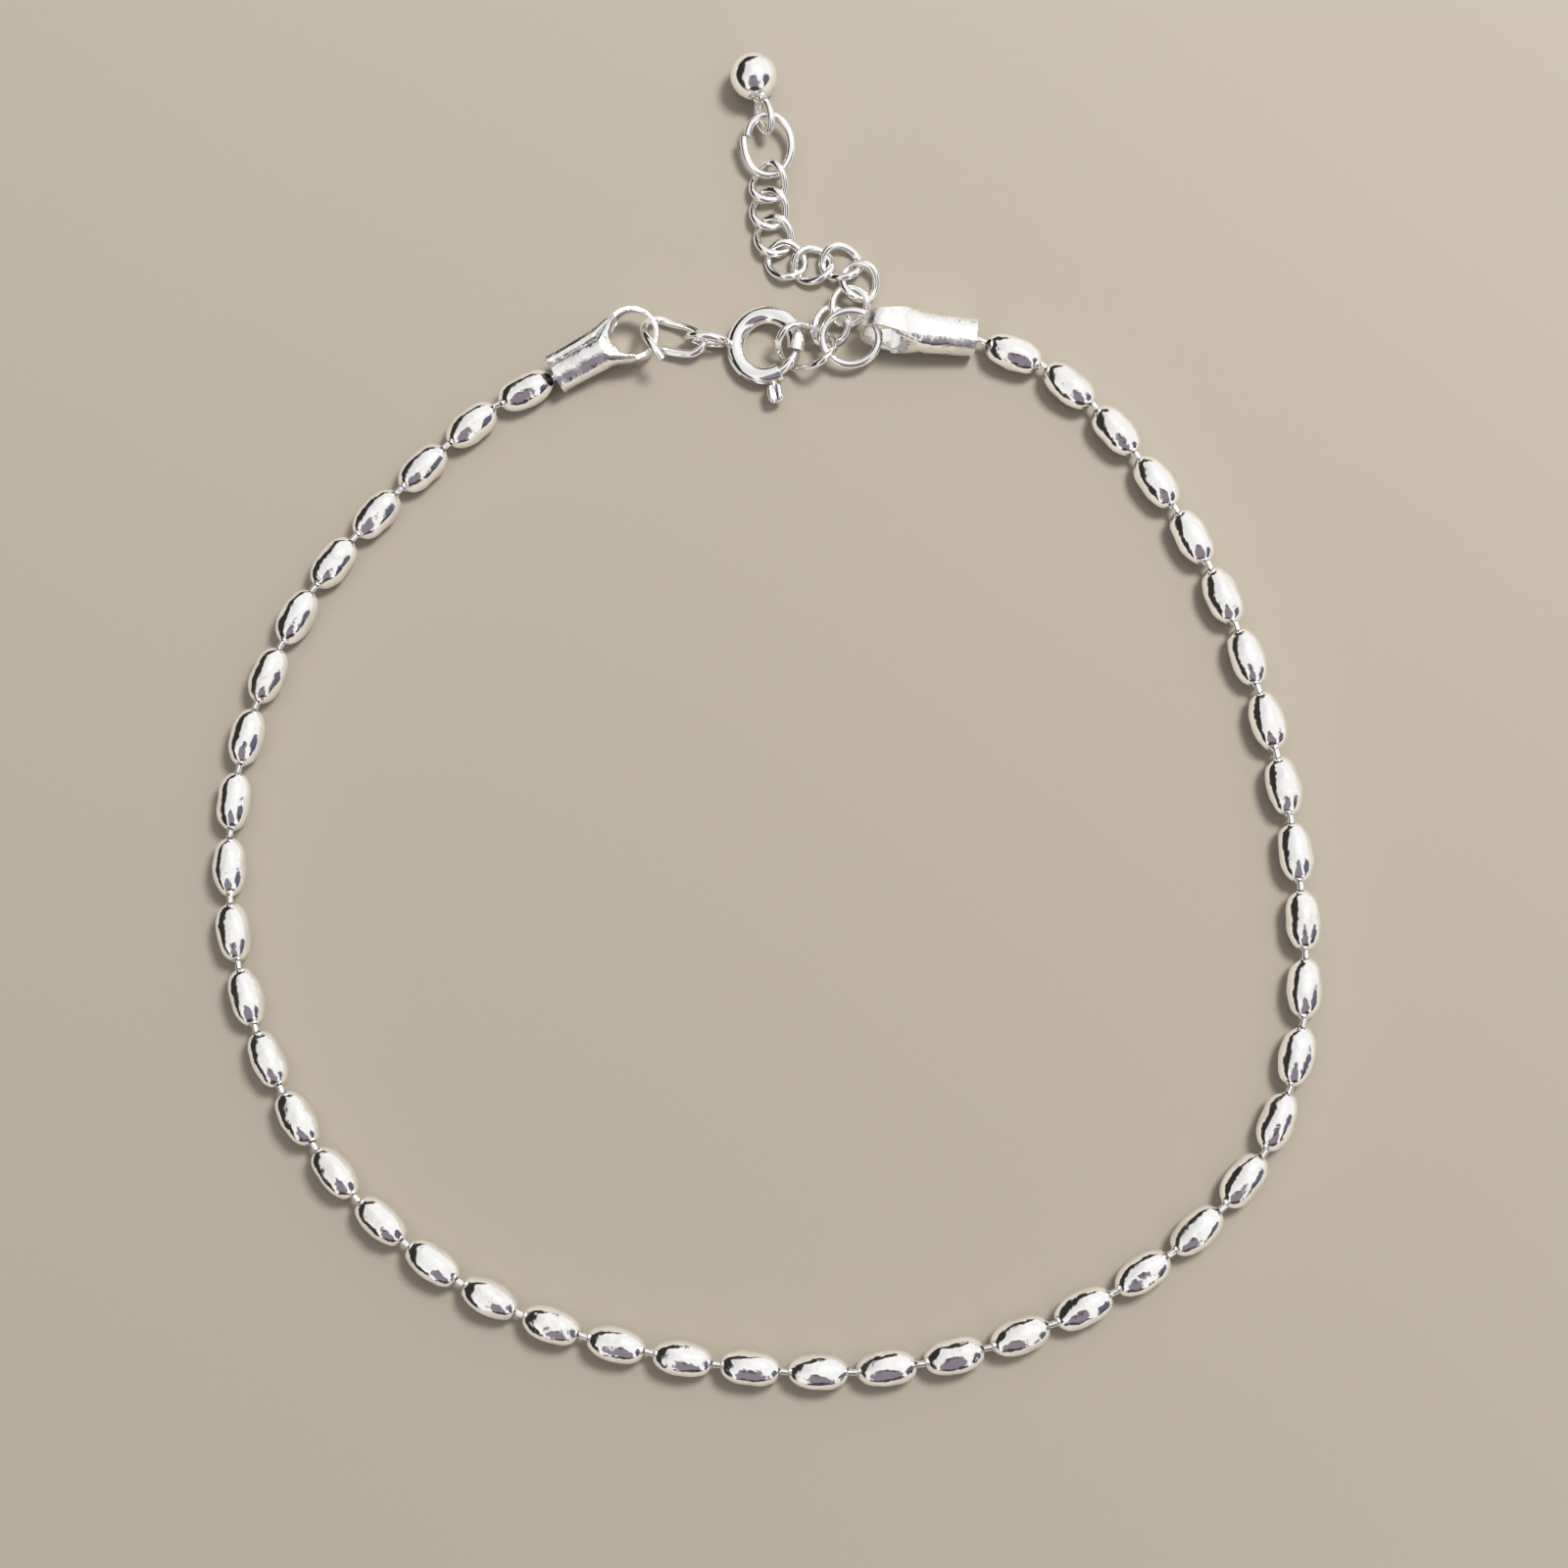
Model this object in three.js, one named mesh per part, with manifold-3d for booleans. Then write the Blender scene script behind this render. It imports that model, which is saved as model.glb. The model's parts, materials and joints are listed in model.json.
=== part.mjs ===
// A silver beaded anklet lying flat: a ball chain of long oval beads, closed by a spring ring,
// with a short curb extender that ends in a small ball.
// Millimetres, +Z up. The origin is under the middle of the whole piece, on the surface it lies on.

import * as THREE from 'three';
import { mergeVertices } from 'three/addons/utils/BufferGeometryUtils.js';
import Module from 'manifold-3d';

const wasm = await Module();
wasm.setup();

// Bead chain
const BEAD_COUNT = 44;
const BEAD_SIDES = 10;
const BEAD_RADIUS = 1.325;
const BEAD_HALF_LENGTH = 2.2;
const BEAD_CAVITY_RADIUS = 0.95;
const BEAD_HOLE_RADIUS = 0.44;
const ROD_RADIUS = 0.24;
const ROD_HEAD_RADIUS = 0.475;
const ROD_HEAD_START = 3.75;
const ROD_HEAD_END = 4.08;

// Route of the bead chain from the left cap round to the right cap, seen from above
const LOOP_KNOTS = [
  [-15.74, 24.98], [-18.0, 24.25], [-25.5, 18.4], [-35.2, 6.9], [-39.7, -7.0], [-38.5, -21.6],
  [-31.7, -34.6], [-20.1, -43.8], [-5.9, -48.1], [9.0, -48.8], [23.4, -44.4], [34.9, -35.4],
  [38.7, -27.0], [39.5, -17.6], [37.4, -2.7], [32.3, 11.4], [23.3, 23.6], [19.1, 26.1], [16.7, 27.05],
];

// End caps: a rolled tube flattened into a band eye
const CAP_SECTIONS = [
  { along: 0, halfWidth: 1.4, halfHeight: 1.4, squareness: 2 },
  { along: 3.2, halfWidth: 1.4, halfHeight: 1.4, squareness: 2 },
  { along: 4.3, halfWidth: 1.55, halfHeight: 1.25, squareness: 2.5 },
  { along: 5.0, halfWidth: 1.75, halfHeight: 0.98, squareness: 4 },
  { along: 5.6, halfWidth: 1.96, halfHeight: 0.85, squareness: 8 },
  { along: 6.6, halfWidth: 2.2, halfHeight: 0.72, squareness: 8 },
  { along: 7.6, halfWidth: 1.96, halfHeight: 0.55, squareness: 8 },
  { along: 8.3, halfWidth: 1.4, halfHeight: 0.42, squareness: 8 },
  { along: 8.72, halfWidth: 0.6, halfHeight: 0.34, squareness: 8 },
];
const CAP_SIDES = 12;
const CAP_EYE_REACH = 6.6;
const CAP_EYE_HOLE_RADIUS = 1.83;
const CAP_BORE_RADIUS = 1.1;
const CAP_BORE_DEPTH = 3.2;
const CAP_END_WALL = 0.3;
const CAP_MOUTH_GAP = 0.3;
const LEFT_CAP = { mouth: [-15.65, 25.0, 1.4], eye: [-9.75, 28.0, 1.95], roll: 0 };
const RIGHT_CAP = { mouth: [16.1, 27.3, 1.4], eye: [9.6, 27.9, 2.3], roll: 90 };

// Spring ring clasp: angles in degrees round the ring, counter-clockwise from +X seen from above
const CLASP_CENTRE = [0.3, 27.2, 1.08];
const CLASP_TILT = 9;
const CLASP_RADIUS = 2.37;
const CLASP_TUBE_RADIUS = 0.69;
const CLASP_TUBE_START = -14;
const CLASP_TUBE_END = 298;
const BOLT_RADIUS = 0.33;
const BOLT_CLEARANCE = 0.1;
const BOLT_START = -100;
const BOLT_END = -17;
const BOLT_TRAVEL = 45;
const LUG_ANGLE = -79;
const LUG_CENTRE_RADIUS = 3.87;
const LUG_HALF_SIZE = [0.68, 0.56, 0.48];
const SHANK_WIDTH = 0.5;
const SLOT_WIDTH = 0.75;
const SLOT_MARGIN = 8;
const TAIL_LOOP = { place: [-4.15, 27.65, 1.32], heading: -8, halfLength: 1.45, halfWidth: 1.02, roll: 90 };
const TAIL_WIRE_RADIUS = 0.3;

// Open wire ring between the left cap's eye and the clasp's tail loop, from one cut end to the other
const CLASP_JUMP_ROUTE = [
  [-7.4, 25.7, 3.0], [-8.1, 26.7, 3.2], [-8.8, 27.9, 2.5], [-8.8, 29.0, 1.3], [-8.0, 29.5, 0.6],
  [-6.9, 29.2, 0.5], [-5.7, 28.8, 0.8], [-4.7, 28.1, 1.3], [-4.4, 27.3, 1.3], [-5.2, 26.7, 1.1],
  [-6.3, 26.8, 0.8], [-7.2, 27.0, 0.7], [-7.7, 27.2, 0.6],
];
const CLASP_JUMP_WIRE_RADIUS = 0.32;

// Ring between the right cap's eye and the extender
const EXTENDER_RING = { place: [6.75, 27.45, 1.66], heading: 0, halfLength: 2.12, halfWidth: 2.0, roll: 12 };
const EXTENDER_RING_WIRE_RADIUS = 0.31;

// Extender: a hooked first link, then smaller twisted links that lean less and less
const HOOKED_LINK = {
  place: [3.4, 26.8, 1.76], heading: 0, halfLength: 2.1, halfWidth: 1.6, roll: 5, twist: 1.12,
};
const HOOKED_LINK_WIRE_RADIUS = 0.275;
const CURB_LINKS = [
  { place: [5.15, 28.5, 1.12], roll: 30 },
  { place: [6.55, 30.15, 0.94], roll: 20 },
  { place: [7.4, 32.05, 0.86], roll: 13 },
  { place: [6.0, 33.6, 0.78], roll: 8 },
  { place: [3.85, 33.5, 0.7], roll: 3 },
  { place: [1.8, 33.9, 0.66], roll: 0 },
  { place: [0.85, 35.85, 0.64], roll: -4 },
  { place: [0.5, 38.0, 0.72], roll: -9 },
  { place: [0.45, 40.1, 0.9], roll: -18 },
];
const CURB_HALF_LENGTH = 1.45;
const CURB_HALF_WIDTH = 1.3;
const CURB_TWIST = 0.3;
const CURB_WIRE_RADIUS = 0.25;

// Ring and ball at the free end
const DROP_RING = { place: [0.45, 42.9, 1.25], heading: 90, halfLength: 2.3, halfWidth: 1.78, roll: 4, pitch: 10 };
const DROP_RING_WIRE_RADIUS = 0.3;
const BALL_PLACE = [-0.55, 48.15, 1.85];
const BALL_RADIUS = 1.85;
const BALL_EYE = { place: [0.2, 45.1, 1.62], heading: -76, halfLength: 1.3, halfWidth: 0.8, roll: 65 };
const BALL_EYE_WIRE_RADIUS = 0.24;

const rad = THREE.MathUtils.degToRad;
const silver = new THREE.MeshStandardMaterial({ color: 0xd9d8d6, metalness: 1, roughness: 0.18 });

// A closed wire ring seen from above as an oval, with its corners lifted and lowered in turn by the twist
class LinkCurve extends THREE.Curve {
  constructor(halfLength, halfWidth, twist = 0) {
    super();
    Object.assign(this, { halfLength, halfWidth, twist });
  }

  getPoint(t, target = new THREE.Vector3()) {
    const turn = t * Math.PI * 2;
    const lift = -this.twist * Math.sin(2 * turn);
    return target.set(this.halfLength * Math.cos(turn), this.halfWidth * Math.sin(turn), lift);
  }
}

// An arc of the clasp's ring in its own plane
class RingArc extends THREE.Curve {
  constructor(startDegrees, endDegrees) {
    super();
    this.start = rad(startDegrees);
    this.sweep = rad(endDegrees - startDegrees);
  }

  getPoint(t, target = new THREE.Vector3()) {
    const angle = this.start + this.sweep * t;
    return target.set(CLASP_RADIUS * Math.cos(angle), CLASP_RADIUS * Math.sin(angle), 0);
  }
}

function solidFrom(geometry) {
  const bare = geometry.clone();
  bare.deleteAttribute('normal');
  bare.deleteAttribute('uv');
  const merged = mergeVertices(bare, 1e-4);
  return new wasm.Manifold(new wasm.Mesh({
    numProp: 3,
    vertProperties: Float32Array.from(merged.attributes.position.array),
    triVerts: Uint32Array.from(merged.index.array),
  }));
}

function geometryFrom(solid) {
  const mesh = solid.getMesh();
  const geometry = new THREE.BufferGeometry();
  geometry.setAttribute('position', new THREE.BufferAttribute(Float32Array.from(mesh.vertProperties), 3));
  geometry.setIndex(new THREE.BufferAttribute(Uint32Array.from(mesh.triVerts), 1));
  geometry.computeVertexNormals();
  return geometry;
}

const joined = (geometries) => geometries.map(solidFrom).reduce((whole, piece) => whole.add(piece));

function piece(name, geometry) {
  const mesh = new THREE.Mesh(geometry, silver.clone());
  mesh.name = name;
  return mesh;
}

function roundSection(radius, sides) {
  const corners = Array.from({ length: sides }, (_, i) => {
    const angle = ((i + 0.5) / sides) * Math.PI * 2;
    return new THREE.Vector2(radius * Math.cos(angle), radius * Math.sin(angle));
  });
  return new THREE.Shape(corners);
}

// A wire with cut ends along an open curve
function openWire(curve, radius, sides, steps) {
  const options = { steps, extrudePath: curve, bevelEnabled: false };
  return new THREE.ExtrudeGeometry(roundSection(radius, sides), options);
}

// A closed wire ring turned and moved to its place
function wireRing({ place, heading, halfLength, halfWidth, twist = 0, roll = 0, pitch = 0 }, radius, sides, steps) {
  const curve = new LinkCurve(halfLength, halfWidth, twist);
  const ring = new THREE.TubeGeometry(curve, steps, radius, sides, true);
  ring.rotateX(rad(roll));
  ring.rotateY(-rad(pitch));
  ring.rotateZ(rad(heading));
  return ring.translate(...place);
}

// Hollow bead along +Y, with a hole behind and the next bead's wire and head in front
function beadGeometry() {
  const flatness = 1 / Math.cos(Math.PI / BEAD_SIDES);
  const outline = [
    [0, 0.75 * BEAD_HALF_LENGTH],
    [BEAD_CAVITY_RADIUS, 0.42 * BEAD_HALF_LENGTH],
    [BEAD_CAVITY_RADIUS, -0.56 * BEAD_HALF_LENGTH],
    [BEAD_HOLE_RADIUS, -BEAD_HALF_LENGTH],
    [0.66 * BEAD_RADIUS, -0.87 * BEAD_HALF_LENGTH],
    [0.92 * BEAD_RADIUS, -0.54 * BEAD_HALF_LENGTH],
    [BEAD_RADIUS, -0.2 * BEAD_HALF_LENGTH],
    [BEAD_RADIUS, 0.2 * BEAD_HALF_LENGTH],
    [0.92 * BEAD_RADIUS, 0.54 * BEAD_HALF_LENGTH],
    [0.66 * BEAD_RADIUS, 0.87 * BEAD_HALF_LENGTH],
    [ROD_RADIUS, BEAD_HALF_LENGTH],
    [ROD_RADIUS, ROD_HEAD_START],
    [ROD_HEAD_RADIUS, ROD_HEAD_START + 0.08],
    [0, ROD_HEAD_END],
  ];
  const points = outline.map(([radius, along]) => new THREE.Vector2(radius * flatness, along));
  return new THREE.LatheGeometry(points, BEAD_SIDES, Math.PI / BEAD_SIDES);
}

function beadChain() {
  const knots = LOOP_KNOTS.map(([x, y]) => new THREE.Vector3(x, y, BEAD_RADIUS));
  const pivots = new THREE.CatmullRomCurve3(knots).getSpacedPoints(BEAD_COUNT);
  const geometry = beadGeometry();
  return pivots.slice(1).map((next, i) => {
    const bead = piece(`bead_${String(i + 1).padStart(2, '0')}`, geometry);
    bead.position.addVectors(pivots[i], next).multiplyScalar(0.5);
    bead.rotation.z = Math.atan2(next.y - pivots[i].y, next.x - pivots[i].x) - Math.PI / 2;
    return bead;
  });
}

// Tube and band of an end cap along +X, before its bore and eye are cut
function capBlank() {
  const lastRow = CAP_SECTIONS.length - 1;
  const blank = new THREE.CylinderGeometry(1, 1, lastRow, CAP_SIDES, lastRow);
  const position = blank.attributes.position;
  for (let i = 0; i < position.count; i += 1) {
    const section = CAP_SECTIONS[Math.round(position.getY(i) + lastRow / 2)];
    const [across, up] = [position.getX(i), position.getZ(i)].map((value) => {
      const size = Math.abs(value) < 1e-6 ? 0 : Math.abs(value);
      return Math.sign(value) * size ** (2 / section.squareness);
    });
    position.setXYZ(i, section.along, across * section.halfWidth, -up * section.halfHeight);
  }
  return blank;
}

function capBore() {
  const outline = [
    [0, -CAP_END_WALL],
    [BEAD_HOLE_RADIUS, -CAP_END_WALL],
    [BEAD_HOLE_RADIUS, CAP_END_WALL],
    [CAP_BORE_RADIUS, CAP_END_WALL],
    [CAP_BORE_RADIUS, CAP_BORE_DEPTH],
    [0, CAP_BORE_DEPTH],
  ];
  const points = outline.map(([radius, along]) => new THREE.Vector2(radius, along));
  return new THREE.LatheGeometry(points, BEAD_SIDES).rotateZ(-Math.PI / 2);
}

// The wire that holds the first bead, from inside the left cap out through its mouth
function capRod() {
  const reach = ROD_HEAD_END - BEAD_HALF_LENGTH - CAP_MOUTH_GAP;
  const neck = ROD_HEAD_START - BEAD_HALF_LENGTH - CAP_MOUTH_GAP;
  const outline = [
    [0, -reach],
    [ROD_HEAD_RADIUS, -neck - 0.08],
    [ROD_RADIUS, -neck],
    [ROD_RADIUS, CAP_BORE_DEPTH + CAP_END_WALL],
    [0, CAP_BORE_DEPTH + CAP_END_WALL],
  ];
  const points = outline.map(([radius, along]) => new THREE.Vector2(radius, along));
  return new THREE.LatheGeometry(points, BEAD_SIDES).rotateZ(-Math.PI / 2);
}

function endCap(name, { mouth, eye, roll }, withRod) {
  const eyeHole = new THREE.CylinderGeometry(CAP_EYE_HOLE_RADIUS, CAP_EYE_HOLE_RADIUS, 4, 20);
  eyeHole.rotateX(Math.PI / 2).translate(CAP_EYE_REACH, 0, 0);
  let solid = solidFrom(capBlank()).subtract(solidFrom(capBore())).subtract(solidFrom(eyeHole));
  if (withRod) solid = solid.add(solidFrom(capRod()));

  const from = new THREE.Vector3(...mouth);
  const along = new THREE.Vector3(...eye).sub(from).normalize();
  const side = new THREE.Vector3(0, 0, 1).cross(along).normalize();
  const up = along.clone().cross(side);
  const cap = piece(name, geometryFrom(solid).rotateX(rad(roll)));
  cap.quaternion.setFromRotationMatrix(new THREE.Matrix4().makeBasis(along, side, up));
  cap.position.copy(from);
  return cap;
}

// Places a geometry made flat at the ring's centre into the tilted clasp
function intoClasp(geometry) {
  return geometry.rotateY(-rad(CLASP_TILT)).translate(...CLASP_CENTRE);
}

// The hollow of the tube that the bolt slides back into, open at the tube's lower end
function boltRoom() {
  const first = BOLT_START - BOLT_TRAVEL - SLOT_MARGIN;
  const last = CLASP_TUBE_END - 360 + SLOT_MARGIN;
  return openWire(new RingArc(first, last), BOLT_RADIUS + BOLT_CLEARANCE, 8, 7);
}

// The slot in the outside of the tube that the lug travels along
function lugSlot() {
  const middle = LUG_ANGLE - BOLT_TRAVEL / 2;
  const half = BOLT_TRAVEL / 2 + SLOT_MARGIN;
  const outside = CLASP_RADIUS + 2 * CLASP_TUBE_RADIUS;
  const corner = (radius, degrees) => new THREE.Vector2(radius, 0).rotateAround(new THREE.Vector2(), rad(degrees));
  const outline = new THREE.Shape([
    corner(CLASP_RADIUS, middle - half),
    corner(CLASP_RADIUS, middle),
    corner(CLASP_RADIUS, middle + half),
    corner(outside, middle + half),
    corner(outside, middle),
    corner(outside, middle - half),
  ]);
  const slot = new THREE.ExtrudeGeometry(outline, { depth: SLOT_WIDTH, bevelEnabled: false });
  return slot.translate(0, 0, -SLOT_WIDTH / 2);
}

function claspRing() {
  const tube = openWire(new RingArc(CLASP_TUBE_START, CLASP_TUBE_END), CLASP_TUBE_RADIUS, 10, 24);
  const shell = [boltRoom(), lugSlot()].reduce(
    (whole, cut) => whole.subtract(solidFrom(intoClasp(cut))),
    solidFrom(intoClasp(tube)),
  );
  return piece('clasp_ring', geometryFrom(shell.add(solidFrom(wireRing(TAIL_LOOP, TAIL_WIRE_RADIUS, 6, 16)))));
}

function claspBolt() {
  const bolt = openWire(new RingArc(BOLT_START, BOLT_END), BOLT_RADIUS, 8, 10);
  const lug = new THREE.SphereGeometry(1, 10, 6).scale(...LUG_HALF_SIZE).translate(LUG_CENTRE_RADIUS, 0, 0);
  const shankLength = LUG_CENTRE_RADIUS - CLASP_RADIUS;
  const shank = new THREE.BoxGeometry(shankLength, SHANK_WIDTH, SHANK_WIDTH);
  shank.translate(CLASP_RADIUS + shankLength / 2, 0, 0);
  const parts = [bolt, lug.rotateZ(rad(LUG_ANGLE)), shank.rotateZ(rad(LUG_ANGLE))];
  return piece('clasp_bolt', geometryFrom(joined(parts.map(intoClasp))));
}

function claspJumpRing() {
  const route = new THREE.CatmullRomCurve3(CLASP_JUMP_ROUTE.map((point) => new THREE.Vector3(...point)));
  return piece('clasp_jump_ring', openWire(route, CLASP_JUMP_WIRE_RADIUS, 6, 30));
}

function extenderChain() {
  const places = [HOOKED_LINK, ...CURB_LINKS, DROP_RING].map(({ place }) => place);
  const links = CURB_LINKS.map(({ place, roll }, i) => {
    const [before, after] = [places[i], places[i + 2]];
    const heading = THREE.MathUtils.radToDeg(Math.atan2(after[1] - before[1], after[0] - before[0]));
    const shape = { halfLength: CURB_HALF_LENGTH, halfWidth: CURB_HALF_WIDTH, twist: CURB_TWIST };
    return wireRing({ place, heading, roll, ...shape }, CURB_WIRE_RADIUS, 5, 12);
  });
  const hooked = wireRing(HOOKED_LINK, HOOKED_LINK_WIRE_RADIUS, 6, 18);
  return piece('extender_chain', geometryFrom(joined([hooked, ...links])));
}

function ballDrop() {
  const ball = new THREE.SphereGeometry(BALL_RADIUS, 14, 10).rotateX(Math.PI / 2).translate(...BALL_PLACE);
  const eye = wireRing(BALL_EYE, BALL_EYE_WIRE_RADIUS, 6, 14);
  return piece('ball_drop', geometryFrom(joined([ball, eye])));
}

const anklet = new THREE.Group();
anklet.add(
  ...beadChain(),
  endCap('end_cap_left', LEFT_CAP, true),
  endCap('end_cap_right', RIGHT_CAP, false),
  claspRing(),
  claspBolt(),
  claspJumpRing(),
  piece('extender_jump_ring', wireRing(EXTENDER_RING, EXTENDER_RING_WIRE_RADIUS, 6, 16)),
  extenderChain(),
  piece('drop_jump_ring', wireRing(DROP_RING, DROP_RING_WIRE_RADIUS, 6, 16)),
  ballDrop(),
);

const box = new THREE.Box3().setFromObject(anklet, true);
const centre = box.getCenter(new THREE.Vector3());
anklet.position.set(-centre.x, -centre.y, -box.min.z);

export default anklet;
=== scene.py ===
# Looks of a silver beaded anklet lying in a loop: oval beads, end caps, spring ring, extender and ball.
# Sizes are millimetres on the anklet and become metres where a piece is placed.

import json
import math

import bmesh
import bpy
import numpy as np
from mathutils import Matrix, Vector, noise


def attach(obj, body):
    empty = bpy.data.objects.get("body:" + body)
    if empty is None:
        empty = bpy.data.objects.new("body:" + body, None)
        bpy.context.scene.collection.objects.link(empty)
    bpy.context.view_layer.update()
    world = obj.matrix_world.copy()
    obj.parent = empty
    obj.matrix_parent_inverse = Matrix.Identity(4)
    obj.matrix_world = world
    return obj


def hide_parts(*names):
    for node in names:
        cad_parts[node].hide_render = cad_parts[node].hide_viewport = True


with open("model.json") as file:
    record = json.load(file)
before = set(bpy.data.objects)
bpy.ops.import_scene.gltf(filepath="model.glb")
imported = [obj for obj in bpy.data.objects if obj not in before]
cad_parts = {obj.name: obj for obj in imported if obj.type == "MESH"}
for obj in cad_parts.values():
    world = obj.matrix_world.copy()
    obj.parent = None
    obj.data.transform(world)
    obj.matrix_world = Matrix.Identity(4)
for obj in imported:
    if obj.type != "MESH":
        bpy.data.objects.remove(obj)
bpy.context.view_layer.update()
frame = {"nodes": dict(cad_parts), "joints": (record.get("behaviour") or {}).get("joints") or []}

MM = 0.001
# The anklet is laid out round the clasp and then moved so that its outline is centred
LAID_SHIFT = Vector((0.2116, 0.2239, 0.0))
# Points closer than this become one
MERGE_GAP = 0.0005
# Edges that turn by more degrees than this are shaded as sharp
SHARP_TURN = 55
WIRE_SIDES = 14
# Dents go in further than bulges come out, by this share of their depth
DENT_SINK = 0.5

# Beads
BEAD_COUNT = 44
BEAD_RADIUS = 1.325
BEAD_HALF_LENGTH = 2.2
BEAD_FULLNESS = 2.4
BEAD_ROUNDNESS = 2.2
BEAD_RIM_RADIUS = 0.36
BEAD_RIM_ROLL = 0.06
BEAD_HOLE_RADIUS = 0.3
BEAD_HOLE_DEPTH = 1.1
BEAD_ROD_RADIUS = 0.23
BEAD_ROD_ROOT = 0.12
BEAD_ROD_REACH = 3.7
BEAD_ROD_DOME = 0.05
BEAD_ROWS = 20
BEAD_SIDES = 36
BEAD_DENT_DEPTH = 0.085
BEAD_DENT_SIZE = 1.05
# Each bead takes its dents from another place in the noise
BEAD_DENT_STEP = (7.3, 1.7, 0.0)

# End caps, from the mouth to the tip of the eye
CAP_SHEET = 0.32
CAP_EDGE_WIDTH = 0.05
CAP_EDGE_SEGMENTS = 2
CAP_SHARP_TURN = 16
# The lip of the rolled sheet, in shares of the tube's half width and half height
CAP_LIP = [
    {"across": 0.56, "high": 0.92},
    {"across": 0.8, "high": 0.87},
    {"across": 1.02, "high": 0.745},
    {"across": 1.05, "high": 0.35},
]
CAP_LIP_WANDER = 0.05
CAP_LIP_WANDER_ALONG = 1.3
CAP_LIP_WANDER_ACROSS = 0.4
CAP_DENT_DEPTH = 0.06
CAP_DENT_SIZE = 0.9
CAP_ROLL_START = -4
CAP_ROLL_END = -310
# The last sixth of the sheet is tucked in under the lip
CAP_TUCK = 0.12
CAP_TUCK_PARTS = 6
CAP_SIDES = 44
CAP_TUBE_SQUARENESS = 2.5
CAP_TUBE_SECTIONS = [
    {"along": 0.0, "half_width": 1.38, "half_height": 1.38},
    {"along": 0.25, "half_width": 1.32, "half_height": 1.35},
    {"along": 0.8, "half_width": 1.33, "half_height": 1.36},
    {"along": 1.4, "half_width": 1.33, "half_height": 1.38},
    {"along": 2.0, "half_width": 1.34, "half_height": 1.4},
    {"along": 2.6, "half_width": 1.36, "half_height": 1.43},
    {"along": 3.2, "half_width": 1.38, "half_height": 1.46},
    {"along": 3.7, "half_width": 1.4, "half_height": 1.48},
]
CAP_MOUTH_RAGGED = 0.1
CAP_MOUTH_RAGGED_SCALE = 1.4
CAP_NECK_START = 4.0
CAP_NECK_ROWS = 7
CAP_NECK_END_HALF_WIDTH = 2.02
CAP_NECK_END_HALF_HEIGHT = 1.3
CAP_NECK_END_SQUARENESS = 4.5
CAP_CRUMPLE_DEPTH = 0.3
CAP_CRUMPLE_SIZE = 0.55
# Noise below this leaves the neck smooth
CAP_CRUMPLE_CALM = 0.3
# The crumples have their full depth from a third of the neck on
CAP_CRUMPLE_GROWTH = 3
CAP_EYE_REACH = 6.6
CAP_EYE_RADIUS = 2.04
CAP_EYE_HALF_WIDTH_AT_TUBE = 1.15
CAP_EYE_HALF_WIDTH_AT_TIP = 0.5
CAP_EYE_STEPS = 64
# The neck ends in a torn edge round the hole
CAP_HOLE_EDGE_RADIUS = 1.68
CAP_HOLE_EDGE_RAGGED = 0.25
CAP_HOLE_LEAST_SQUARE = 0.2
LEFT_CAP = {
    "mouth": (-15.65, 25.0, 1.4), "eye": (-9.75, 28.0, 1.95), "roll": 8.5, "lip_turn": -8.5,
    "eye_squareness": 2.0,
}
RIGHT_CAP = {
    "mouth": (16.1, 27.3, 1.4), "eye": (9.6, 27.9, 2.3), "roll": 100, "lip_turn": 75,
    "eye_squareness": 2.7,
}
# The left cap holds a rod of its own, from inside the tube into the first bead
CAP_ROD_REACHES = (1.6, 0.4, -0.4, -1.1)

# Spring ring: angles in degrees, counter-clockwise from +X seen from above
CLASP_TILT = 9
CLASP_RADIUS = 2.37
CLASP_TUBE_RADIUS = 0.69
CLASP_TUBE_WALL = 0.2
CLASP_TUBE_START = -14
CLASP_TUBE_END = 298
CLASP_TUBE_SIDES = 32
CLASP_TUBE_STEPS = 78
CLASP_EDGE_WIDTH = 0.07
CLASP_EDGE_SEGMENTS = 3
CLASP_SHARP_TURN = 40
SLOT_FIRST = -132
SLOT_LAST = -71
SLOT_HALF_WIDTH = 0.34
# The slot is in the outer side of the tube, past this share of its radius
SLOT_OUTER_SHARE = 0.5
BOLT_RADIUS = 0.33
BOLT_START = -100
BOLT_SHOULDER = -34
BOLT_END = -16
BOLT_STEP = 3
BOLT_SIDES = 18
BOLT_TIP_RADIUS = 0.2
LUG_ANGLE = -79
LUG_CENTRE_RADIUS = 3.87
LUG_HALF_REACH = 0.74
LUG_HALF_WIDTH = 0.6
LUG_HALF_HEIGHT = 0.46
LUG_BOXINESS = 0.62
LUG_SIDES = 40
LUG_ROWS = 24
LUG_GROOVE = 0.5
LUG_GROOVE_SHARE = 0.3
LUG_SHANK_RADIUS = 0.27
LUG_SHANK_SIDES = 12
TAIL_LOOP = {
    "place": (-4.15, 27.65, 1.32), "heading": -8, "roll": 90, "half_length": 1.45, "half_width": 1.02,
    "steps": 48,
}
TAIL_WIRE_RADIUS = 0.3

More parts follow.
